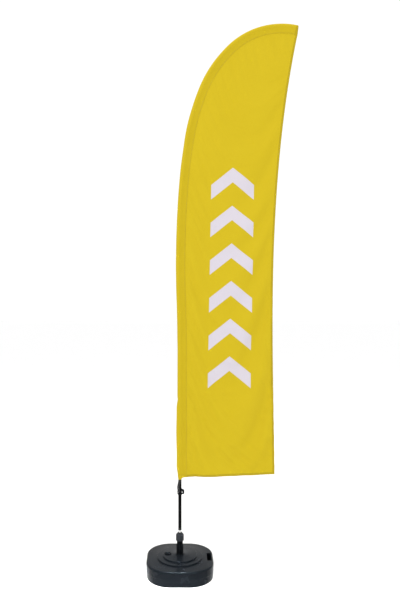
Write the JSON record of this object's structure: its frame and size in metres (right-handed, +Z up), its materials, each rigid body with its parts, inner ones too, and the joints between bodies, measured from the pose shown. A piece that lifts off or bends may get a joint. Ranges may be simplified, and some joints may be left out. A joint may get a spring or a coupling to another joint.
{
  "type": "feather flag",
  "caption": "Free-standing feather flag: yellow cloth on a curved plug-together pole that swivels on a spindle in a square water-filled base.",
  "frame": {"origin": "the pole axis at the flat underside of the base, which rests on the floor", "axes": "+Z up along the pole axis, +X towards the flag's free edge and the carrying slot, +Y away from the printed side of the flag"},
  "size_m": [0.8544, 0.374, 3.0949],
  "materials": {
    "tank_plastic": "satin blow-moulded polyethylene",
    "water": "clear",
    "seal_rubber": "matt",
    "collet_plastic": "matt",
    "slip_plastic": "natural nylon",
    "nut_plastic": "fine moulded texture",
    "spindle_steel": "chrome plated",
    "pole_rubber": "matt",
    "pole_black": "black anodised",
    "pole_fibre": "glass-fibre rod, black",
    "collar_aluminium": "satin",
    "hook_plastic": "moulded nylon",
    "strap_webbing": "woven polyester webbing",
    "sleeve_cloth": "knitted polyester, double layer",
    "hem_cloth": "knitted polyester, folded and stitched",
    "flag_cloth": "knitted polyester, printed"
  },
  "bodies": {
    "stand": {"base_tank": "tank_plastic", "ballast_water": "water", "stand_tube": "tank_plastic", "clamp_collet": "collet_plastic", "spindle_shank": "spindle_steel", "bearing_outer_race": "spindle_steel"},
    "filler_seal": {"filler_seal": "seal_rubber"},
    "filler_cap": {"filler_cap": "tank_plastic"},
    "clamp_ring": {"clamp_slip_ring": "slip_plastic"},
    "clamp_nut": {"clamp_nut": "nut_plastic"},
    "bearing_balls": {"bearing_balls": "spindle_steel"},
    "rotor": {"bearing_inner_race": "spindle_steel", "rotor_pin": "spindle_steel"},
    "mast": {"pole_foot": "pole_rubber", "pole_section_1": "pole_black", "pole_section_2": "pole_black", "pole_section_3": "pole_fibre", "pole_section_4": "pole_fibre", "pole_collar_1": "collar_aluminium", "pole_collar_2": "collar_aluminium", "pole_collar_3": "collar_aluminium", "pole_end_cap": "pole_rubber", "tension_hook": "hook_plastic", "hook_screw": "spindle_steel", "tension_strap": "strap_webbing", "sleeve_foot_tab": "sleeve_cloth", "pole_sleeve": "sleeve_cloth", "sleeve_tip_patch": "sleeve_cloth", "flag_panel": "flag_cloth", "free_edge_hem": "hem_cloth", "bottom_hem": "hem_cloth"}
  },
  "joints": [
    {"name": "flag_swivel", "type": "hinge", "parent": "stand", "child": "rotor", "pos_m": [0, 0, 0.224], "axis": [0, 0, 1], "continuous": true},
    {"name": "bearing_roll", "type": "hinge", "parent": "stand", "child": "bearing_balls", "pos_m": [0, 0, 0.224], "axis": [0, 0, 1], "continuous": true},
    {"name": "mast_lift", "type": "slide", "parent": "rotor", "child": "mast", "axis": [0, 0, 1], "range_m": [0, 0.15]},
    {"name": "seal_lift", "type": "slide", "parent": "stand", "child": "filler_seal", "axis": [0, 0, 1], "range_m": [0, 0.006]},
    {"name": "cap_turn", "type": "hinge", "parent": "filler_seal", "child": "filler_cap", "pos_m": [-0.068, 0.008, 0.1], "axis": [0, 0, 1], "range_deg": [0, 720]},
    {"name": "ring_lift", "type": "slide", "parent": "stand", "child": "clamp_ring", "axis": [0, 0, 1], "range_m": [0, 0.003]},
    {"name": "nut_turn", "type": "hinge", "parent": "clamp_ring", "child": "clamp_nut", "pos_m": [0, 0, 0.178], "axis": [0, 0, 1], "range_deg": [0, 360]}
  ],
  "couplings": [
    {"joint": "bearing_roll", "follows": "flag_swivel", "ratio": 0.3789},
    {"joint": "seal_lift", "follows": "cap_turn", "m_per_rad": 0.00047746},
    {"joint": "ring_lift", "follows": "nut_turn", "m_per_rad": 0.00047746}
  ]
}
